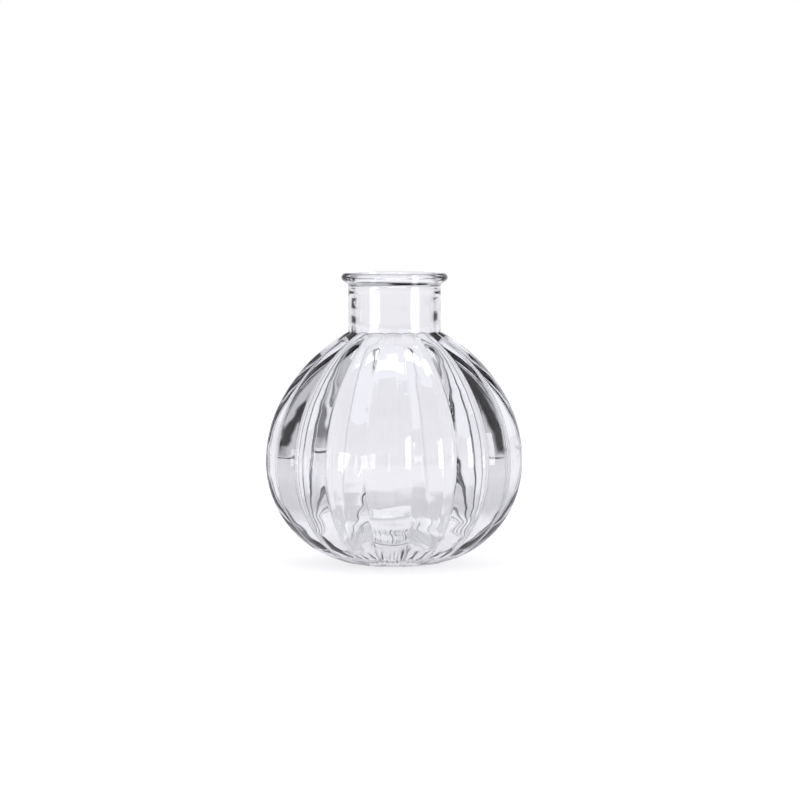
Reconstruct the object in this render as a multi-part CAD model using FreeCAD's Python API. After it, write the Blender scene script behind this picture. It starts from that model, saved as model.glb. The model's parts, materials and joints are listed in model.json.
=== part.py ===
import FreeCAD, Part

import math
import os

# A ribbed glass bud vase: a squat globe of convex lobes, a short plain neck and a flared lip.
# The vase stands on z = 0 and its axis of revolution is +Z through the origin.
# The glass is split into the regions that its moulds shape, and they meet on level planes.

# Driving dimensions, in millimetres and degrees.
HEIGHT = 90.0
BODY_DIAMETER = 80.0
EQUATOR_Z = 31.9
LOBES = 18
LOBE_RADIUS_RATIO = 0.26
FIRST_LOBE_DEG = -92.0

FLANK_RADIUS = 32.2
BELLY_TOP_DEG = 28.0
SHOULDER_RADIUS = 51.6

NECK_DIAMETER = 28.6
BORE_DIAMETER = 24.4
LIP_DIAMETER = 33.0
LIP_EDGE_RADIUS = 1.4
LIP_UNDERSIDE_DEG = 35.0
LIP_FILLET = 0.8
MOUTH_ROUNDING = 1.5

CREST_WALL = 4.3
FLOOR_THICKNESS = 4.0
THROAT_ROUNDING = 9.5
PUSH_UP_DIAMETER = 17.0
PUSH_UP_HEIGHT = 1.2

# Heights of the level planes between the regions.
BASE_TOP_Z = 8.0
HEEL_TOP_Z = 18.0
BODY_TOP_Z = 52.0
SHOULDER_TOP_Z = 73.5
NECK_TOP_Z = 85.0

BODY_RADIUS = BODY_DIAMETER / 2
NECK_RADIUS = NECK_DIAMETER / 2
BORE_RADIUS = BORE_DIAMETER / 2
LIP_RADIUS = LIP_DIAMETER / 2
HALF_PITCH = math.pi / LOBES


class MeridianArc:
    """A circular arc of the outline, in the plane of radius r and height z."""

    def __init__(self, centre_r, centre_z, radius, start, end):
        self.centre_r = centre_r
        self.centre_z = centre_z
        self.radius = radius
        self.start = start
        self.end = end

    def at(self, angle):
        return (self.centre_r + self.radius * math.cos(angle),
                self.centre_z + self.radius * math.sin(angle))

    def angle_at_height(self, z):
        return math.asin((z - self.centre_z) / self.radius)

    def angle_at_radius(self, r):
        return math.acos((r - self.centre_r) / self.radius)

    def lowest(self):
        return self.at(self.start)[1]

    def highest(self):
        return self.at(self.end)[1]

    def between(self, low, high):
        """The stretch of this arc between two heights, or None where they miss it."""
        low = max(low, self.lowest())
        high = min(high, self.highest())
        if high - low < 1e-6:
            return None
        return MeridianArc(self.centre_r, self.centre_z, self.radius,
                           self.angle_at_height(low), self.angle_at_height(high))

    def edge(self):
        """The arc as a FreeCAD edge in the XZ plane."""
        points = [self.at(a) for a in (self.start, (self.start + self.end) / 2, self.end)]
        return Part.Arc(*[FreeCAD.Vector(r, 0, z) for r, z in points]).toShape()


def conic(centre, radius, start, end):
    """Control points and weights of an arc as one rational quadratic span."""
    half = (end - start) / 2
    reach = radius / math.cos(half)
    polar = ((radius, start), (reach, start + half), (radius, end))
    points = [(centre[0] + d * math.cos(a), centre[1] + d * math.sin(a)) for d, a in polar]
    return points, [1.0, math.cos(half), 1.0]


def outer_arcs():
    """The crest line of the lobes, from the bearing ring up to inside the neck."""
    flank_r = BODY_RADIUS - FLANK_RADIUS
    foot = math.asin(-EQUATOR_Z / FLANK_RADIUS)
    flank = MeridianArc(flank_r, EQUATOR_Z, FLANK_RADIUS, foot, 0.0)
    top = math.radians(BELLY_TOP_DEG)
    belly = MeridianArc(0.0, EQUATOR_Z, BODY_RADIUS, 0.0, top)
    shift = BODY_RADIUS - SHOULDER_RADIUS
    shoulder = MeridianArc(shift * math.cos(top), EQUATOR_Z + shift * math.sin(top),
                           SHOULDER_RADIUS, top, top)
    shoulder.end = shoulder.angle_at_radius(BORE_RADIUS + 1.0)
    return [flank, belly, shoulder]


def lobe_outline():
    """One lobe of a section whose crest radius is 1: control points and weights."""
    out = 1.0 - LOBE_RADIUS_RATIO
    side = out * math.sin(HALF_PITCH)
    groove = out * math.cos(HALF_PITCH) + math.sqrt(LOBE_RADIUS_RATIO ** 2 - side ** 2)
    spread = math.asin(groove * math.sin(HALF_PITCH) / LOBE_RADIUS_RATIO)
    return conic((out, 0.0), LOBE_RADIUS_RATIO, -spread, spread)


def turned(point, angle):
    x, y = point
    return (x * math.cos(angle) - y * math.sin(angle), x * math.sin(angle) + y * math.cos(angle))


def lobe_angles():
    return [math.radians(FIRST_LOBE_DEG) + 2 * HALF_PITCH * i for i in range(LOBES)]


def lobe_face(arc, angle):
    """The outer face of one lobe along one meridian arc. Every level section is similar."""
    section, section_weights = lobe_outline()
    section = [turned(p, angle) for p in section]
    meridian, meridian_weights = conic((arc.centre_r, arc.centre_z), arc.radius, arc.start, arc.end)
    poles = [[FreeCAD.Vector(r * x, r * y, z) for x, y in section] for r, z in meridian]
    weights = [[m * s for s in section_weights] for m in meridian_weights]
    surface = Part.BSplineSurface()
    surface.buildFromPolesMultsKnots(poles, [3, 3], [3, 3], [0, 1], [0, 1], False, False, 2, 2, weights)
    return surface.toShape()


def section_face(radius, z):
    """The level section of the lobed body where the crest radius is the one given."""
    section, weights = lobe_outline()
    edges = []
    for angle in lobe_angles():
        points = [turned(p, angle) for p in section]
        poles = [FreeCAD.Vector(radius * x, radius * y, z) for x, y in points]
        curve = Part.BSplineCurve()
        curve.buildFromPolesMultsKnots(poles, [3, 3], [0, 1], False, 2, weights)
        edges.append(curve.toShape())
    return Part.Face(Part.Wire(edges))


def lobed_band(low, high):
    """The lobed body between two heights, solid right through."""
    arcs = [a for a in (arc.between(low, high) for arc in outer_arcs()) if a]
    faces = [lobe_face(arc, angle) for arc in arcs for angle in lobe_angles()]
    for end, angle in ((arcs[0], arcs[0].start), (arcs[-1], arcs[-1].end)):
        faces.append(section_face(*end.at(angle)))
    shell = Part.Shell(faces)
    shell.sewShape()
    solid = Part.Solid(Part.Shell(shell.Faces))
    if solid.Volume < 0:
        solid.reverse()
    return solid


def revolved(edges):
    """The solid of revolution of a closed outline in the XZ plane."""
    face = Part.Face(Part.Wire(Part.__sortEdges__(edges)))
    solid = face.revolve(FreeCAD.Vector(0, 0, 0), FreeCAD.Vector(0, 0, 1), 360)
    if solid.Volume < 0:
        solid.reverse()
    return solid


def line(*points):
    """Straight edges through points of radius and height."""
    corners = [FreeCAD.Vector(r, 0, z) for r, z in points]
    return [Part.makeLine(a, b) for a, b in zip(corners, corners[1:])]


def inner_arcs():
    """The wall of the cavity, from the flat of its floor up to the throat's rounding."""
    wall_r = BODY_RADIUS - CREST_WALL
    flank_radius = EQUATOR_Z - FLOOR_THICKNESS
    flank = MeridianArc(wall_r - flank_radius, EQUATOR_Z, flank_radius, -math.pi / 2, 0.0)
    top = math.radians(BELLY_TOP_DEG)
    belly = MeridianArc(0.0, EQUATOR_Z, wall_r, 0.0, top)
    outer_shoulder = outer_arcs()[-1]
    shoulder = MeridianArc(outer_shoulder.centre_r, outer_shoulder.centre_z,
                           SHOULDER_RADIUS - CREST_WALL, top, top)
    # The throat's rounding touches the shoulder's inner arc from outside and the bore's wall.
    throat_r = BORE_RADIUS + THROAT_ROUNDING
    reach = shoulder.radius + THROAT_ROUNDING
    shoulder.end = math.acos((throat_r - shoulder.centre_r) / reach)
    throat_z = shoulder.centre_z + reach * math.sin(shoulder.end)
    throat = MeridianArc(throat_r, throat_z, THROAT_ROUNDING, shoulder.end + math.pi, math.pi)
    return [flank, belly, shoulder, throat]


def cavity():
    """The space inside the vase, out through the mouth."""
    arcs = inner_arcs()
    mouth = MeridianArc(BORE_RADIUS + MOUTH_ROUNDING, HEIGHT - MOUTH_ROUNDING, MOUTH_ROUNDING,
                        math.pi, math.pi / 2)
    floor = arcs[0].at(arcs[0].start)
    throat = arcs[-1].at(arcs[-1].end)
    above = HEIGHT + 5.0
    edges = line((0.0, floor[1]), floor)
    edges += [arc.edge() for arc in arcs]
    edges += line(throat, mouth.at(mouth.start))
    edges.append(mouth.edge())
    edges += line(mouth.at(mouth.end), (mouth.centre_r, above), (0.0, above), (0.0, floor[1]))
    return revolved(edges)


def tube(radius, low, high):
    return Part.makeCylinder(radius, high - low, FreeCAD.Vector(0, 0, low))


def lip_outside():
    """The flared lip, solid right through, on a short length of the neck."""
    edge = MeridianArc(LIP_RADIUS - LIP_EDGE_RADIUS, HEIGHT - LIP_EDGE_RADIUS, LIP_EDGE_RADIUS,
                       math.radians(LIP_UNDERSIDE_DEG) - math.pi / 2, math.pi / 2)
    under = edge.at(edge.start)
    drop = (under[0] - NECK_RADIUS) * math.tan(math.radians(LIP_UNDERSIDE_DEG))
    corner = (NECK_RADIUS, under[1] - drop)
    top = edge.at(edge.end)
    edges = line((0.0, NECK_TOP_Z), (NECK_RADIUS, NECK_TOP_Z), corner, under)
    edges.append(edge.edge())
    edges += line(top, (0.0, HEIGHT), (0.0, NECK_TOP_Z))
    solid = revolved(edges)
    crease = [e for e in solid.Edges
              if abs(e.BoundBox.ZMin - corner[1]) < 1e-4 and abs(e.BoundBox.ZMax - corner[1]) < 1e-4]
    return solid.makeFillet(LIP_FILLET, crease)


def push_up():
    """The shallow dome under the base, so that the vase stands on a ring."""
    half = PUSH_UP_DIAMETER / 2
    radius = (half ** 2 + PUSH_UP_HEIGHT ** 2) / (2 * PUSH_UP_HEIGHT)
    return Part.makeSphere(radius, FreeCAD.Vector(0, 0, PUSH_UP_HEIGHT - radius))


def regions():
    """Each region of the glass by its node name, hollowed by the cavity."""
    space = cavity()
    collar = tube(NECK_RADIUS, BODY_TOP_Z, SHOULDER_TOP_Z)
    shoulder_peak = outer_arcs()[-1].highest()
    return {
        "base": lobed_band(0.0, BASE_TOP_Z).cut(push_up()).cut(space),
        "heel": lobed_band(BASE_TOP_Z, HEEL_TOP_Z).cut(space),
        "body": lobed_band(HEEL_TOP_Z, BODY_TOP_Z).cut(space),
        "shoulder": lobed_band(BODY_TOP_Z, shoulder_peak).fuse(collar).cut(space),
        "neck": tube(NECK_RADIUS, SHOULDER_TOP_Z, NECK_TOP_Z).cut(space),
        "lip_ring": lip_outside().cut(space),
    }


def main():
    os.makedirs("parts", exist_ok=True)
    for name, shape in regions().items():
        solid = shape.removeSplitter().Solids[0]
        box = solid.BoundBox
        print(f"{name}: valid {solid.isValid()}, {len(shape.Solids)} solid, {solid.Volume / 1000:.2f} cm3, "
              f"z {box.ZMin:.2f} to {box.ZMax:.2f}, across {box.XLength:.2f}")
        solid.exportStep(f"parts/{name}.step")
    throat = inner_arcs()[-1]
    print(f"bore wall from z {throat.at(throat.end)[1]:.3f} to {HEIGHT - MOUTH_ROUNDING:.3f}")


main()
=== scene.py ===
import json
import math

import bmesh
import bpy
from mathutils import Matrix, Vector, noise


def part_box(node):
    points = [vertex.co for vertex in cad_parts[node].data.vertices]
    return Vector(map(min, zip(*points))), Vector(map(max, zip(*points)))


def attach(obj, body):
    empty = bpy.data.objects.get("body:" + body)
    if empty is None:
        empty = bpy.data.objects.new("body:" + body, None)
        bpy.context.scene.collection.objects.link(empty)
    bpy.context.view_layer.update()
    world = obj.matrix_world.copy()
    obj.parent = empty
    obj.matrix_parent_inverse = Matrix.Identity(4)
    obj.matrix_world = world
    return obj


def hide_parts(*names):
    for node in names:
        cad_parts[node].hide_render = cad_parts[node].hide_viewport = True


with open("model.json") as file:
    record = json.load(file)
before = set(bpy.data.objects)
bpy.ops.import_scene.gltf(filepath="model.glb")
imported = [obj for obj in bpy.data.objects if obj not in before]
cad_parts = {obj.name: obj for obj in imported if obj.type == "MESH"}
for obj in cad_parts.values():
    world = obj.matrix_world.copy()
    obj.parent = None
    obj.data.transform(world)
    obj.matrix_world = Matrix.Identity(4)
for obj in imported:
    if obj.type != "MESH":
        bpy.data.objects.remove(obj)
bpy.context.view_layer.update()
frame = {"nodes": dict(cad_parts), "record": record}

bl_info = {
    "name": "Ribbed Bud Vase",
    "version": (1, 0, 0),
    "blender": (4, 5, 0),
    "location": "View3D > Sidebar > Bud Vase",
    "description": "Models a small lobed glass bud vase and a plain studio round it",
    "category": "Add Mesh",
}

MM = 0.001
GLASS_NODES = ("lip_ring", "neck", "shoulder", "body", "heel", "base")
WHITE = (1.0, 1.0, 1.0, 1.0)
ROOM_TINT = (0.965, 0.967, 1.0, 1.0)
LIGHT_TARGET_HEIGHT = 35.0 * MM


def mount(name):
    return next(m for m in frame["record"]["mounts"] if m["name"] == name)


def widest(node):
    """The largest distance of a CAD node from the vase's axis."""
    return max(math.hypot(v.co.x, v.co.y) for v in frame["nodes"][node].data.vertices)


class VaseSizes(bpy.types.PropertyGroup):
    """Sizes of the glass, from the frame where it states them."""

    height: bpy.props.FloatProperty(
        name="Height", description="From the bearing ring to the top of the lip",
        default=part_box("lip_ring")[1].z, unit="LENGTH", precision=4)
    body_radius: bpy.props.FloatProperty(
        name="Body radius", description="From the axis to the lobes' crests at the widest point",
        default=widest("body"), unit="LENGTH", precision=4)
    neck_radius: bpy.props.FloatProperty(
        name="Neck radius", description="Outside of the plain neck",
        default=widest("neck"), unit="LENGTH", precision=4)
    bore_radius: bpy.props.FloatProperty(
        name="Bore radius", description="Inside of the neck",
        default=mount("neck_bore")["dims"]["r_mm"] * MM, unit="LENGTH", precision=4)
    lip_radius: bpy.props.FloatProperty(
        name="Lip radius", description="Outside of the flared lip",
        default=widest("lip_ring"), unit="LENGTH", precision=4)
    equator: bpy.props.FloatProperty(
        name="Equator height", description="Height of the widest point",
        default=31.9 * MM, unit="LENGTH", precision=4)
    flank_radius: bpy.props.FloatProperty(
        name="Flank radius", description="Arc of the outline from the equator down to the bearing ring",
        default=32.2 * MM, unit="LENGTH", precision=4)
    shoulder_radius: bpy.props.FloatProperty(
        name="Shoulder radius", description="Flatter arc of the outline below the neck",
        default=51.6 * MM, unit="LENGTH", precision=4)
    belly_top: bpy.props.FloatProperty(
        name="Belly top", description="Slope at which the belly's arc gives way to the shoulder's",
        default=math.radians(28.0), subtype="ANGLE")
    crest_wall: bpy.props.FloatProperty(
        name="Wall at a crest", description="Thickness of the glass at the crest of a lobe",
        default=4.3 * MM, unit="LENGTH", precision=4)
    floor_thickness: bpy.props.FloatProperty(
        name="Floor thickness", description="From the bearing plane to the cavity's floor",
        default=4.0 * MM, unit="LENGTH", precision=4)
    lobes: bpy.props.IntProperty(
        name="Lobes", description="Number of convex lobes round the body", default=18, min=3)
    lobe_roundness: bpy.props.FloatProperty(
        name="Lobe roundness", description="Radius of a lobe as a share of the section's radius",
        default=0.26, subtype="FACTOR")
    first_lobe: bpy.props.FloatProperty(
        name="First lobe", description="Direction of the first lobe's crest",
        default=math.radians(-92.0), subtype="ANGLE")
    groove_softness: bpy.props.FloatProperty(
        name="Groove softness", description="Rounding of the valley between lobes, as a share of the radius",
        default=0.006, subtype="FACTOR", precision=4)


class Outline:
    """An outline drawn in the XZ plane of a bmesh, by spinning and extruding its last vertex."""

    def __init__(self, bm, r, z):
        self.bm = bm
        self.tip = bm.verts.new((r, 0.0, z))
        self.verts = [self.tip]
        self.edges = []

    def arc(self, centre, turn, steps):
        """Carries the outline round a centre, anticlockwise for a positive turn."""
        for _ in range(steps):
            spun = bmesh.ops.spin(self.bm, geom=[self.tip], cent=(centre[0], 0.0, centre[1]),
                                  axis=(0.0, -1.0, 0.0), angle=turn / steps, steps=1)
            self._take(spun["geom_last"])

    def line(self, r, z, steps=1):
        """Carries the outline straight to a point."""
        step = (Vector((r, 0.0, z)) - self.tip.co) / steps
        for _ in range(steps):
            grown = bmesh.ops.extrude_vert_indiv(self.bm, verts=[self.tip])
            bmesh.ops.translate(self.bm, verts=grown["verts"], vec=step)
            self._take(grown["verts"])

    def _take(self, geom):
        last = next(g for g in geom if isinstance(g, bmesh.types.BMVert))
        self.edges.append(next(e for e in last.link_edges if e.other_vert(last) == self.tip))
        self.tip = last
        self.verts.append(last)

    def sweep(self, angle, steps):
        """Spins the outline about the vase's axis through one lobe, and returns the skin's vertices."""
        before = set(self.bm.verts) - set(self.verts)
        bmesh.ops.spin(self.bm, geom=self.verts + self.edges, cent=(0.0, 0.0, 0.0), axis=(0.0, 0.0, 1.0),
                       angle=angle, steps=steps)
        return [v for v in self.bm.verts if v not in before]


class LobedBody:
    """The outline's arcs and the lobed section, worked out from the sizes."""

    def __init__(self, sizes):
        self.sizes = sizes
        self.half_pitch = math.pi / sizes.lobes
        self.flank_centre = (sizes.body_radius - sizes.flank_radius, sizes.equator)
        shift = sizes.body_radius - sizes.shoulder_radius
        self.shoulder_centre = (shift * math.cos(sizes.belly_top),
                                sizes.equator + shift * math.sin(sizes.belly_top))
        self.neck_angle = self.shoulder_angle(sizes.neck_radius)

    def shoulder_angle(self, crest_radius):
        """Where on the shoulder's arc the crest line has a given radius."""
        return math.acos((crest_radius - self.shoulder_centre[0]) / self.sizes.shoulder_radius)

    def reach(self, angle):
        """How far one lobe's circle reaches from the axis, for a section of radius 1."""
        roundness = self.sizes.lobe_roundness
        out = 1.0 - roundness
        return out * math.cos(angle) + math.sqrt(max(roundness ** 2 - (out * math.sin(angle)) ** 2, 0.0))

    def lobe_offset(self, direction):
        """The angle from the nearest crest to a direction round the axis."""
        pitch = 2 * self.half_pitch
        return (direction + self.half_pitch) % pitch - self.half_pitch

    def section(self, direction):
        """The lobed section's radius in a direction, as a share of its crest radius."""
        offset = abs(self.lobe_offset(direction))
        near = self.reach(offset)
        far = self.reach(2 * self.half_pitch - offset)
        softness = self.sizes.groove_softness
        return 0.5 * (near + far + math.hypot(near - far, softness))


def gather_towards_grooves(body, direction):
    """Moves a column of vertices nearer its groove, where the section turns fastest."""
    gathering = 0.55
    offset = body.lobe_offset(direction)
    share = offset / body.half_pitch
    moved = (1.0 - gathering) * share + gathering * math.sin(share * math.pi / 2)
    return direction + (moved - share) * body.half_pitch


def outer_skin(bm, body, columns):
    """One lobe of the outside, from the middle of the push-up to the top of the lip. Returns its end."""
    s = body.sizes
    push_up_radius, push_up_height = 8.5 * MM, 1.2 * MM
    dome = (push_up_radius ** 2 + push_up_height ** 2) / (2 * push_up_height)
    outline = Outline(bm, 0.0, push_up_height)
    outline.arc((0.0, push_up_height - dome), -math.asin(push_up_radius / dome), 8)
    foot = math.asin(-s.equator / s.flank_radius)
    foot_radius = body.flank_centre[0] + s.flank_radius * math.cos(foot)
    outline.line(foot_radius, 0.0, 3)
    outline.arc(body.flank_centre, -foot, 46)
    outline.arc((0.0, s.equator), s.belly_top, 16)
    crease = 0.35 * MM
    centre = body.shoulder_centre
    tangent = math.acos((s.neck_radius + crease - centre[0]) / (s.shoulder_radius + crease))
    outline.arc(centre, tangent - s.belly_top, 30)
    crease_z = centre[1] + (s.shoulder_radius + crease) * math.sin(tangent)
    outline.arc((s.neck_radius + crease, crease_z), -tangent, 4)
    edge_radius, slope, fillet = 1.4 * MM, math.radians(35.0), 0.8 * MM
    edge_centre = (s.lip_radius - edge_radius, s.height - edge_radius)
    under = (edge_centre[0] + edge_radius * math.sin(slope), edge_centre[1] - edge_radius * math.cos(slope))
    corner_z = under[1] - (under[0] - s.neck_radius) * math.tan(slope)
    bend = math.pi / 2 - slope
    setback = fillet * math.tan(bend / 2)
    outline.line(s.neck_radius, corner_z - setback, 10)
    outline.arc((s.neck_radius + fillet, corner_z - setback), -bend, 5)
    outline.line(under[0], under[1], 2)
    outline.arc(edge_centre, math.pi - slope, 14)
    end = (outline.tip.co.x, outline.tip.co.z)
    for vert in outline.sweep(2 * body.half_pitch, columns):
        shape_outside(vert, body)
    return end


def shape_outside(vert, body):
    """Gives a vertex of the outside its place on the lobes, or in the scalloped line under the neck."""
    s = body.sizes
    r, z = math.hypot(vert.co.x, vert.co.y), vert.co.z
    if r < 1e-6:
        return
    direction = gather_towards_grooves(body, math.atan2(vert.co.y, vert.co.x))
    section = body.section(direction)
    centre = body.shoulder_centre
    low_neck = centre[1] + s.shoulder_radius * math.sin(body.neck_angle)
    groove_angle = body.shoulder_angle(s.neck_radius / section)
    drop = s.shoulder_radius * (math.sin(body.neck_angle) - math.sin(groove_angle))
    belly_top_z = s.equator + s.body_radius * math.sin(s.belly_top)
    foot_radius = body.flank_centre[0] + math.sqrt(s.flank_radius ** 2 - s.equator ** 2)
    if z > belly_top_z and r > s.neck_radius + 0.2 * MM and z < low_neck + 1.0 * MM:
        angle = math.atan2(z - centre[1], r - centre[0])
        stretch = (groove_angle - s.belly_top) / (body.neck_angle - s.belly_top)
        angle = s.belly_top + (angle - s.belly_top) * stretch
        z = centre[1] + s.shoulder_radius * math.sin(angle)
        r = (centre[0] + s.shoulder_radius * math.cos(angle)) * section
    elif z > belly_top_z:
        fade = max(0.0, 1.0 - (z - low_neck) / (4.0 * MM))
        z -= drop * min(fade, 1.0)
    elif r > foot_radius - 1e-6:
        z += stippling(r, direction, s)
        r *= section
    vert.co = (r * math.cos(direction), r * math.sin(direction), z)


def stippling(r, direction, sizes):
    """How far the ring of short radial ribs round the bearing surface stands clear of the table."""
    inner, outer, depth, ribs_per_lobe = 11.5 * MM, 23.0 * MM, 0.45 * MM, 4
    if not inner < r < outer:
        return 0.0
    fade = math.sin(math.pi * (r - inner) / (outer - inner))
    rib = 0.5 - 0.5 * math.cos(direction * sizes.lobes * ribs_per_lobe)
    return depth * fade * rib


def inner_skin(bm, body, start, columns):
    """One lobe's width of the cavity's wall, from the top of the lip down to the middle of the floor."""
    s = body.sizes
    mouth, throat = 1.5 * MM, 9.5 * MM
    relief = 0.25 * MM
    mouth_radius = s.bore_radius + relief
    step_top, step_bottom = s.height - 5.4 * MM, s.height - 6.6 * MM
    outline = Outline(bm, *start)
    outline.line(mouth_radius + mouth, s.height)
    outline.arc((mouth_radius + mouth, s.height - mouth), math.pi / 2, 6)
    centre = body.shoulder_centre
    reach = s.shoulder_radius - s.crest_wall + throat
    tangent = math.acos((s.bore_radius + throat - centre[0]) / reach)
    throat_z = centre[1] + reach * math.sin(tangent)
    outline.line(mouth_radius, step_top, 3)
    outline.line(mouth_radius - 0.15 * relief, step_top - 0.3 * MM)
    outline.line(s.bore_radius + 0.15 * relief, step_bottom + 0.3 * MM)
    outline.line(s.bore_radius, step_bottom)
    outline.line(s.bore_radius, throat_z, 8)
    outline.arc((s.bore_radius + throat, throat_z), tangent, 12)
    outline.arc(centre, s.belly_top - tangent, 20)
    outline.arc((0.0, s.equator), -s.belly_top, 14)
    wall_radius = s.body_radius - s.crest_wall
    flank = s.equator - s.floor_thickness
    outline.arc((wall_radius - flank, s.equator), -math.pi / 2, 50)
    outline.line(0.0, s.floor_thickness, 5)
    inside = bm.verts.layers.float["inside"]
    for vert in outline.sweep(2 * body.half_pitch, columns):
        shape_inside(vert, body)
        vert[inside] = 1.0


def shape_inside(vert, body):
    """Moves a vertex of the inside sideways with the outside's columns."""
    r = math.hypot(vert.co.x, vert.co.y)
    if r > 1e-6:
        direction = gather_towards_grooves(body, math.atan2(vert.co.y, vert.co.x))
        vert.co = (r * math.cos(direction), r * math.sin(direction), vert.co.z)


def ripple_inside(bm, sizes):
    """Gives the blown inside its slight irregular waves, which are strongest round the heel."""
    inside = bm.verts.layers.float["inside"]
    heel_top, heel_wave, wall_wave, broad_wave = 26.0 * MM, 0.32 * MM, 0.05 * MM, 0.075 * MM
    neck_zone, noise_shift = 8.0 * MM, 7.0
    shortest = Vector((10.0, 10.0, 2.8)) * MM
    longest = Vector((26.0, 26.0, 15.0)) * MM
    bm.normal_update()
    for vert in bm.verts:
        if vert[inside] < 1.0 or vert.co.z > sizes.height - neck_zone:
            continue
        share = min(max(vert.co.z / heel_top, 0.0), 1.0)
        wave = heel_wave + (wall_wave - heel_wave) * share
        fine = noise.noise([c / w for c, w in zip(vert.co, shortest)])
        broad = noise.noise([c / w + noise_shift for c, w in zip(vert.co, longest)])
        vert.co += vert.normal * (wave * fine + broad_wave * broad)


def vase_mesh(sizes):
    """The whole glass as one closed mesh with its faces pointing out."""
    body = LobedBody(sizes)
    columns = 20
    axis = {"cent": (0.0, 0.0, 0.0), "axis": (0.0, 0.0, 1.0)}
    bm = bmesh.new()
    bm.verts.layers.float.new("inside")
    start = outer_skin(bm, body, columns)
    inner_skin(bm, body, start, columns)
    pitch = 2 * body.half_pitch
    bmesh.ops.remove_doubles(bm, verts=bm.verts, dist=1e-7)
    bmesh.ops.spin(bm, geom=bm.verts[:] + bm.edges[:] + bm.faces[:], angle=math.tau - pitch,
                   steps=sizes.lobes - 1, use_duplicate=True, **axis)
    bmesh.ops.remove_doubles(bm, verts=bm.verts, dist=1e-6)
    bmesh.ops.recalc_face_normals(bm, faces=bm.faces)
    ripple_inside(bm, sizes)
    bmesh.ops.rotate(bm, verts=bm.verts, cent=(0.0, 0.0, 0.0),
                     matrix=Matrix.Rotation(sizes.first_lobe, 3, "Z"))
    for face in bm.faces:
        face.smooth = True
    mesh = bpy.data.meshes.new("vase_glass")
    bm.to_mesh(mesh)
    bm.free()
    return mesh


class NodeBuilder:
    """Adds nodes to a tree and links them by name."""

    def __init__(self, tree):
        self.tree = tree

    def add(self, kind, inputs=None, **settings):
        """A node with its settings. Each input is a value or another node's output socket."""
        node = self.tree.nodes.new(kind)
        for name, value in settings.items():
            setattr(node, name, value)
        for key, value in (inputs or {}).items():
            self.feed(node.inputs[key], value)
        return node

    def feed(self, socket, value):
        if isinstance(value, bpy.types.NodeSocket):
            self.tree.links.new(value, socket)
        else:
            socket.default_value = value

    def math(self, operation, *values):
        return self.add("ShaderNodeMath", dict(enumerate(values)), operation=operation).outputs[0]

    def fade(self, value, start, end, low=0.0, high=1.0):
        """A smooth step from low to high as a value goes from start to end."""
        node = self.add("ShaderNodeMapRange", {"Value": value, "From Min": start, "From Max": end,
                                               "To Min": low, "To Max": high},
                        interpolation_type="SMOOTHSTEP")
        return node.outputs["Result"]

    def stretched(self, scale):
        """Object coordinates scaled along each axis."""
        coordinates = self.add("ShaderNodeTexCoord").outputs["Object"]
        return self.add("ShaderNodeVectorMath", {0: coordinates, 1: scale}, operation="MULTIPLY").outputs[0]

    def group(self, tree, **inputs):
        """An instance of a node group, with its inputs given by name."""
        node = self.tree.nodes.new("ShaderNodeGroup")
        node.node_tree = tree
        for name, value in inputs.items():
            self.feed(node.inputs[name.replace("_", " ")], value)
        return node


def node_group(name, inputs, output, output_kind):
    """A new shader node group with named inputs and one output: its builder, input sockets and output."""
    tree = bpy.data.node_groups.new(name, "ShaderNodeTree")
    for label, (kind, value) in inputs.items():
        socket = tree.interface.new_socket(label, in_out="INPUT", socket_type=kind)
        socket.default_value = value
    tree.interface.new_socket(output, in_out="OUTPUT", socket_type=output_kind)
    build = NodeBuilder(tree)
    given = tree.nodes.new("NodeGroupInput").outputs
    result = tree.nodes.new("NodeGroupOutput").inputs[output]
    return build, given, result


def tint_group():
    """The glass's colour: clear in the walls and a little deeper where it gathers in the heel."""
    inputs = {"Wall Color": ("NodeSocketColor", (1.0, 1.0, 1.0, 1.0)),
              "Heel Color": ("NodeSocketColor", (1.0, 1.0, 1.0, 1.0)),
              "Heel Height": ("NodeSocketFloat", 12.0 * MM)}
    build, given, result = node_group("glass_tint", inputs, "Color", "NodeSocketColor")
    height = build.add("ShaderNodeSeparateXYZ", {0: build.stretched((1.0, 1.0, 1.0))}).outputs["Z"]
    cords = build.add("ShaderNodeTexNoise", {"Vector": build.stretched((40.0, 40.0, 12.0)), "Scale": 1.0})
    waver = build.math("MULTIPLY", build.math("SUBTRACT", cords.outputs["Fac"], 0.5), 8.0 * MM)
    height = build.math("ADD", height, waver)
    share = build.fade(height, 0.0, given["Heel Height"], 1.0, 0.0)
    mixed = build.add("ShaderNodeMix", data_type="RGBA")
    build.feed(mixed.inputs["Factor"], share)
    build.feed(mixed.inputs[6], given["Wall Color"])
    build.feed(mixed.inputs[7], given["Heel Color"])
    build.feed(result, mixed.outputs[2])
    return build.tree


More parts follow.
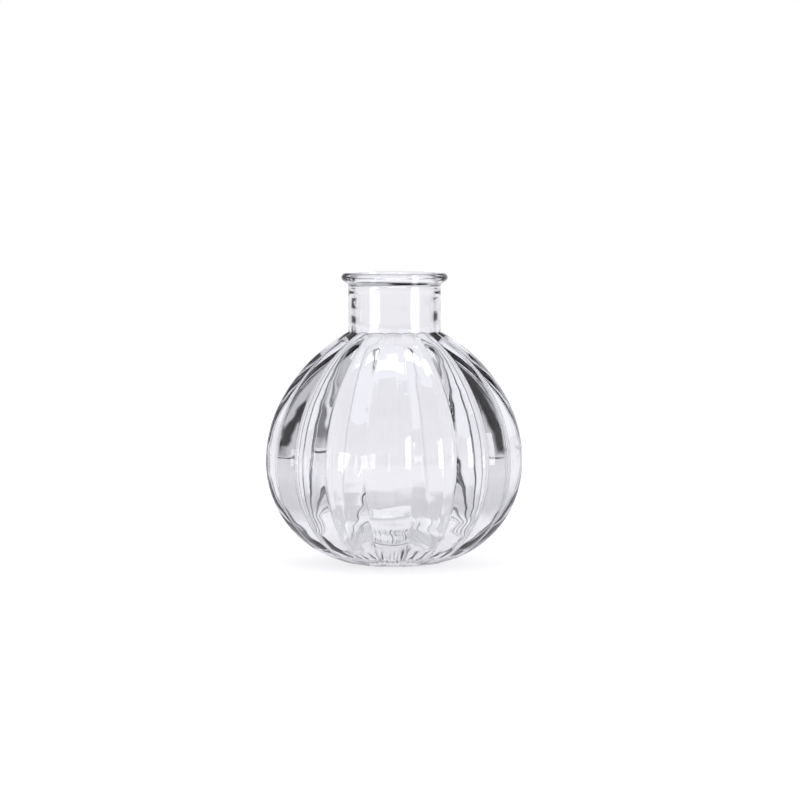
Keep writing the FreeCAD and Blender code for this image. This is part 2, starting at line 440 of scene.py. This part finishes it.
def wear_group():
    """Roughness: fire polished glass, faint smears from handling, and a scuffed bearing ring."""
    inputs = {"Smear Roughness": ("NodeSocketFloat", 0.03),
              "Scuff Roughness": ("NodeSocketFloat", 0.3),
              "Scuff Height": ("NodeSocketFloat", 0.2 * MM)}
    build, given, result = node_group("surface_wear", inputs, "Roughness", "NodeSocketFloat")
    height = build.add("ShaderNodeSeparateXYZ", {0: build.stretched((1.0, 1.0, 1.0))}).outputs["Z"]
    blotches = build.add("ShaderNodeTexNoise", {"Vector": build.stretched((55.0, 55.0, 40.0)), "Scale": 1.0,
                                                "Detail": 3.0, "Distortion": 0.6}).outputs["Fac"]
    streaks = build.add("ShaderNodeTexNoise", {"Vector": build.stretched((900.0, 900.0, 60.0)),
                                               "Scale": 1.0}).outputs["Fac"]
    smears = build.math("MULTIPLY", build.fade(blotches, 0.56, 0.72), build.fade(streaks, 0.35, 0.7))
    smears = build.math("MULTIPLY", smears, given["Smear Roughness"])
    grit = build.add("ShaderNodeTexNoise", {"Vector": build.stretched((1400.0, 1400.0, 1400.0)),
                                            "Scale": 1.0}).outputs["Fac"]
    scuffs = build.math("MULTIPLY", build.fade(height, 0.0, given["Scuff Height"], 1.0, 0.0),
                        build.fade(grit, 0.3, 0.6))
    scuffs = build.math("MULTIPLY", scuffs, given["Scuff Roughness"])
    build.feed(result, build.math("MAXIMUM", smears, scuffs))
    return build.tree


def surface_group():
    """The normal of moulded glass: long soft waves, a fine skin from the mould, and a few seeds."""
    inputs = {"Wave Height": ("NodeSocketFloat", 0.03 * MM),
              "Skin Height": ("NodeSocketFloat", 0.002 * MM),
              "Seed Height": ("NodeSocketFloat", 0.1 * MM)}
    build, given, result = node_group("moulded_surface", inputs, "Normal", "NodeSocketVector")
    waves = build.add("ShaderNodeTexNoise", {"Vector": build.stretched((70.0, 70.0, 180.0)), "Scale": 1.0,
                                             "Detail": 1.0}).outputs["Fac"]
    skin = build.add("ShaderNodeTexNoise", {"Vector": build.stretched((600.0, 600.0, 900.0)), "Scale": 1.0,
                                            "Detail": 2.0}).outputs["Fac"]
    cells = build.add("ShaderNodeTexVoronoi", {"Vector": build.stretched((75.0, 75.0, 55.0)), "Scale": 1.0})
    chosen = build.add("ShaderNodeSeparateColor", {0: cells.outputs["Color"]}).outputs[0]
    dots = build.math("MULTIPLY", build.fade(cells.outputs["Distance"], 0.0, 0.04, 1.0, 0.0),
                      build.math("GREATER_THAN", chosen, 0.86))
    normal = None
    for height, depth in ((waves, "Wave Height"), (skin, "Skin Height"), (dots, "Seed Height")):
        bump = build.add("ShaderNodeBump", {"Strength": 1.0, "Distance": given[depth], "Height": height})
        if normal:
            build.feed(bump.inputs["Normal"], normal)
        normal = bump.outputs["Normal"]
    build.feed(result, normal)
    return build.tree


def glass_material():
    """Clear soda glass with a faint cool cast, which shows where the light has far to go in it."""
    material = bpy.data.materials.new("clear_glass")
    material.use_nodes = True
    build = NodeBuilder(material.node_tree)
    shader = material.node_tree.nodes["Principled BSDF"]
    shader.inputs["Metallic"].default_value = 0.0
    shader.inputs["Transmission Weight"].default_value = 1.0
    shader.inputs["IOR"].default_value = 1.52
    tint = build.group(tint_group(), Wall_Color=(0.99, 0.99, 0.998, 1.0),
                       Heel_Color=(0.98, 0.98, 0.992, 1.0), Heel_Height=14.0 * MM)
    build.feed(shader.inputs["Base Color"], tint.outputs["Color"])
    wear = build.group(wear_group(), Smear_Roughness=0.025, Scuff_Roughness=0.3, Scuff_Height=0.25 * MM)
    build.feed(shader.inputs["Roughness"], wear.outputs["Roughness"])
    surface = build.group(surface_group(), Wave_Height=0.06 * MM, Skin_Height=0.002 * MM,
                          Seed_Height=0.08 * MM)
    build.feed(shader.inputs["Normal"], surface.outputs["Normal"])
    body = build.add("ShaderNodeVolumeAbsorption", {"Color": (0.74, 0.74, 0.9, 1.0), "Density": 13.0})
    material.node_tree.links.new(body.outputs["Volume"],
                                 material.node_tree.nodes["Material Output"].inputs["Volume"])
    return material


class BUDVASE_OT_glass(bpy.types.Operator):
    """Models the glass of the vase as one closed moulding"""

    bl_idname = "bud_vase.glass"
    bl_label = "Mould the Glass"

    def execute(self, context):
        vase = bpy.data.objects.new("vase_glass", vase_mesh(context.scene.bud_vase_sizes))
        context.scene.collection.objects.link(vase)
        vase.data.materials.append(glass_material())
        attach(vase, "root")
        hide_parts(*GLASS_NODES)
        return {"FINISHED"}


class StudioSettings(bpy.types.PropertyGroup):
    """Camera, table and lights. Bearings are turned from straight behind the vase, to the right."""

    elevation: bpy.props.FloatProperty(
        name="Camera elevation", description="Angle of the camera above the table",
        default=math.radians(3.8), subtype="ANGLE")
    distance: bpy.props.FloatProperty(
        name="Camera distance", description="From the camera to the point it looks at",
        default=1.1, unit="LENGTH")
    lens: bpy.props.FloatProperty(
        name="Lens", description="Focal length in millimetres", default=160.0)
    aim: bpy.props.FloatVectorProperty(
        name="Aim", description="Point in the middle of the picture",
        default=(0.0017, 0.0, 0.0506), subtype="TRANSLATION", precision=4)
    arch_right: bpy.props.FloatVectorProperty(
        name="Backdrop's right half", description="Half width and height of the arched backdrop, as angles",
        default=(math.radians(69.0), math.radians(36.0)), size=2)
    arch_left: bpy.props.FloatVectorProperty(
        name="Backdrop's left half", description="Half width and height of the arched backdrop, as angles",
        default=(math.radians(61.0), math.radians(23.0)), size=2)
    backdrop_level: bpy.props.FloatProperty(
        name="Backdrop level", description="Brightness of the middle of the backdrop", default=1.04)
    edge_level: bpy.props.FloatProperty(
        name="Edge level", description="Brightness of the backdrop near its edge", default=0.6)
    wall_level: bpy.props.FloatProperty(
        name="Wall level", description="Brightness of the side walls", default=0.55)
    room_level: bpy.props.FloatProperty(
        name="Room level", description="Brightness of the room on the camera's side", default=0.2)
    ceiling_level: bpy.props.FloatProperty(
        name="Ceiling level", description="Brightness of the ceiling", default=0.4)
    table_color: bpy.props.FloatVectorProperty(
        name="Table colour", description="Colour of the table", default=(0.55, 0.55, 0.57),
        subtype="COLOR")


def direction_angles(build, direction):
    """The signed bearing and the height of a direction, in radians."""
    axes = build.add("ShaderNodeSeparateXYZ", {0: direction}).outputs
    length = build.add("ShaderNodeVectorMath", {0: direction}, operation="LENGTH").outputs["Value"]
    bearing = build.math("ARCTAN2", axes["X"], axes["Y"])
    return bearing, build.math("ARCSINE", build.math("DIVIDE", axes["Z"], length))


def arch_distance(build, bearing, height, settings):
    """Where a direction lies against the arched backdrop: 0 in its middle and 1 on its edge."""
    right = build.fade(bearing, math.radians(-20.0), math.radians(20.0))
    parts = []
    for angle, narrow, wide in zip((bearing, height), settings.arch_left, settings.arch_right):
        share = build.math("DIVIDE", angle, build.fade(right, 0.0, 1.0, narrow, wide))
        parts.append(build.math("MULTIPLY", share, share))
    return build.math("SQRT", build.math("ADD", *parts))


def dark_stand(build, bearing, height):
    """How dark a direction is from the soft oval shadow of a stand behind the vase."""
    stand_bearing, stand_height = math.radians(-35.0), math.radians(8.0)
    half_width, half_height, strength = math.radians(6.0), math.radians(9.0), 0.85
    across = build.math("DIVIDE", build.math("SUBTRACT", bearing, stand_bearing), half_width)
    up = build.math("DIVIDE", build.math("SUBTRACT", height, stand_height), half_height)
    stand = build.math("SQRT", build.math("ADD", build.math("MULTIPLY", across, across),
                                          build.math("MULTIPLY", up, up)))
    return build.fade(stand, 0.6, 1.15, strength, 0.0)


def backdrop_level(build, bearing, height, settings):
    """The backdrop, the dark gap round its edge, and the walls past the gap."""
    arch = arch_distance(build, bearing, height, settings)
    inside = build.fade(arch, 0.35, 0.85, settings.backdrop_level, settings.edge_level)
    outside = build.fade(build.math("ABSOLUTE", bearing), math.radians(95.0), math.radians(110.0),
                         settings.wall_level, settings.room_level)
    level = build.fade(arch, 0.95, 1.05, inside, outside)
    gap = build.fade(build.math("ABSOLUTE", build.math("SUBTRACT", arch, 1.0)), 0.06, 0.15, 0.985, 0.0)
    gap = build.math("MULTIPLY", gap, build.fade(height, 0.0, math.radians(3.5), 0.25, 1.0))
    dark = build.math("MAXIMUM", gap, dark_stand(build, bearing, height))
    return build.math("MULTIPLY", level, build.math("SUBTRACT", 1.0, dark))


def studio_world(settings):
    """An arched white backdrop in a dim room. The camera itself sees plain white."""
    world = bpy.data.worlds.new("studio")
    world.use_nodes = True
    build = NodeBuilder(world.node_tree)
    direction = build.add("ShaderNodeTexCoord").outputs["Generated"]
    bearing, height = direction_angles(build, direction)
    level = backdrop_level(build, bearing, height, settings)
    overhead = build.fade(height, math.radians(50.0), math.radians(75.0))
    level = build.fade(overhead, 0.0, 1.0, level, settings.ceiling_level)
    path = build.add("ShaderNodeLightPath").outputs
    plain = build.math("MINIMUM", build.math("ADD", path["Is Camera Ray"], path["Diffuse Depth"]), 1.0)
    color = build.add("ShaderNodeMix", data_type="RGBA")
    build.feed(color.inputs["Factor"], plain)
    build.feed(color.inputs[6], ROOM_TINT)
    build.feed(color.inputs[7], WHITE)
    background = world.node_tree.nodes["Background"]
    build.feed(background.inputs["Color"], color.outputs[2])
    build.feed(background.inputs["Strength"], build.fade(plain, 0.0, 1.0, level, 1.0))
    return world


def softbox(name, bearing, height, distance, size, radiance):
    """A rectangular light that faces the vase from a bearing and a height, unseen by the camera."""
    light = bpy.data.lights.new(name, "AREA")
    light.shape = "RECTANGLE"
    light.size, light.size_y = size
    light.energy = radiance * math.pi * size[0] * size[1]
    lamp = bpy.data.objects.new(name, light)
    bearing, height = math.radians(bearing), math.radians(height)
    away = Vector((math.sin(bearing) * math.cos(height), math.cos(bearing) * math.cos(height),
                   math.sin(height)))
    lamp.location = away * distance + Vector((0.0, 0.0, LIGHT_TARGET_HEIGHT))
    lamp.rotation_euler = away.to_track_quat("Z", "Y").to_euler()
    lamp.visible_camera = False
    bpy.context.scene.collection.objects.link(lamp)
    return lamp


def painted_corner_shade(build, side, distance):
    """How much painted shade darkens the table in its far corners, by the angle from straight behind and the
    distance.
    """
    corner_shade = build.math("MULTIPLY", build.fade(side, math.radians(24.0), math.radians(34.0)),
                        build.fade(side, math.radians(64.0), math.radians(74.0), 1.0, 0.0))
    corner_shade = build.math("MULTIPLY", corner_shade, build.fade(distance, 0.95, 1.08))
    return build.math("MULTIPLY", corner_shade, build.fade(distance, 1.3, 2.4, 1.0, 0.0))


def table_material(settings):
    """Matt white board with a painted pool of light round the vase, a painted shadow ring about it and
    painted shade in its far corners. The camera sees it plain, lifted to white by a painted even glow.
    """
    material = bpy.data.materials.new("white_table")
    material.use_nodes = True
    build = NodeBuilder(material.node_tree)
    shader = material.node_tree.nodes["Principled BSDF"]
    shader.inputs["Roughness"].default_value = 0.9
    shader.inputs["Specular IOR Level"].default_value = 0.1
    place = build.add("ShaderNodeTexCoord").outputs["Object"]
    bearing, _ = direction_angles(build, place)
    distance = build.add("ShaderNodeVectorMath", {0: place}, operation="LENGTH").outputs["Value"]
    side = build.math("ABSOLUTE", bearing)
    corner_shade = painted_corner_shade(build, side, distance)
    grain = build.add("ShaderNodeTexNoise", {"Vector": place, "Scale": 60.0, "Detail": 3.0}).outputs["Fac"]
    camera = build.add("ShaderNodeLightPath").outputs["Is Camera Ray"]
    # Painted shade darkens the far corners for every ray but the camera's; the grain that follows is the
    # board's own.
    painted_shade_and_grain = build.math("MAXIMUM", build.math("SUBTRACT", 1.0, corner_shade), camera)
    painted_shade_and_grain = build.math("MULTIPLY", painted_shade_and_grain, build.fade(grain, 0.0, 1.0, 0.985, 1.015))
    color = build.add("ShaderNodeVectorMath", {0: tuple(settings.table_color)}, operation="SCALE")
    build.feed(color.inputs["Scale"], painted_shade_and_grain)
    build.feed(shader.inputs["Base Color"], color.outputs["Vector"])
    shader.inputs["Emission Color"].default_value = WHITE
    # Painted light: a pool of glow under the vase, a dimmer ring round it as a painted shadow, more glow
    # behind the vase than at the sides, and an even painted glow that lifts the board to white for the
    # camera.
    painted_pool_glow, painted_shadow_ring_glow, middle_glow, side_glow, seen_glow = 0.5, 0.06, 0.36, 0.12, 0.58
    middle = build.fade(side, math.radians(25.0), math.radians(50.0), middle_glow, side_glow)
    beyond = build.fade(distance, 0.1, 0.19, painted_shadow_ring_glow, middle)
    glow = build.math("MULTIPLY", painted_shade_and_grain, build.fade(distance, 0.035, 0.06, painted_pool_glow, beyond))
    build.feed(shader.inputs["Emission Strength"], build.fade(camera, 0.0, 1.0, glow, seen_glow))
    return material


def studio_table(settings):
    bm = bmesh.new()
    bmesh.ops.create_circle(bm, cap_ends=True, segments=96, radius=40.0)
    mesh = bpy.data.meshes.new("table")
    bm.to_mesh(mesh)
    bm.free()
    table = bpy.data.objects.new("table", mesh)
    bpy.context.scene.collection.objects.link(table)
    mesh.materials.append(table_material(settings))
    return table


def studio_camera(settings):
    camera = bpy.data.cameras.new("camera")
    camera.lens = settings.lens
    viewer = bpy.data.objects.new("camera", camera)
    back = Vector((0.0, -math.cos(settings.elevation), math.sin(settings.elevation)))
    viewer.location = Vector(settings.aim) + back * settings.distance
    viewer.rotation_euler = back.to_track_quat("Z", "Y").to_euler()
    bpy.context.scene.collection.objects.link(viewer)
    return viewer


class BUDVASE_OT_studio(bpy.types.Operator):
    """Sets the table, the lights and the camera round the vase"""

    bl_idname = "bud_vase.studio"
    bl_label = "Set Up the Studio"

    def execute(self, context):
        scene = context.scene
        settings = scene.bud_vase_studio
        scene.view_settings.view_transform = "Standard"
        scene.world = studio_world(settings)
        studio_table(settings)
        softbox("left_softbox", -123.0, 0.0, 0.5, (0.12, 0.12), 3.6)
        softbox("right_softbox", 125.0, 5.0, 0.55, (0.17, 0.27), 6.0)
        softbox("overhead_softbox", 0.0, 90.0, 0.6, (0.3, 0.11), 6.0)
        scene.camera = studio_camera(settings)
        return {"FINISHED"}


class BUDVASE_PT_sidebar(bpy.types.Panel):
    """Buttons for the vase and its studio"""

    bl_idname = "BUDVASE_PT_sidebar"
    bl_label = "Bud Vase"
    bl_space_type = "VIEW_3D"
    bl_region_type = "UI"
    bl_category = "Bud Vase"

    def draw(self, context):
        for operator in OPERATORS:
            self.layout.operator(operator.bl_idname)


OPERATORS = (BUDVASE_OT_glass, BUDVASE_OT_studio)
CLASSES = (VaseSizes, StudioSettings, *OPERATORS, BUDVASE_PT_sidebar)


def register():
    for cls in CLASSES:
        bpy.utils.register_class(cls)
    bpy.types.Scene.bud_vase_sizes = bpy.props.PointerProperty(type=VaseSizes)
    bpy.types.Scene.bud_vase_studio = bpy.props.PointerProperty(type=StudioSettings)


def unregister():
    del bpy.types.Scene.bud_vase_studio
    del bpy.types.Scene.bud_vase_sizes
    for cls in reversed(CLASSES):
        bpy.utils.unregister_class(cls)


def main():
    register()
    bpy.ops.bud_vase.glass()
    bpy.ops.bud_vase.studio()


if __name__ == "__main__":
    main()
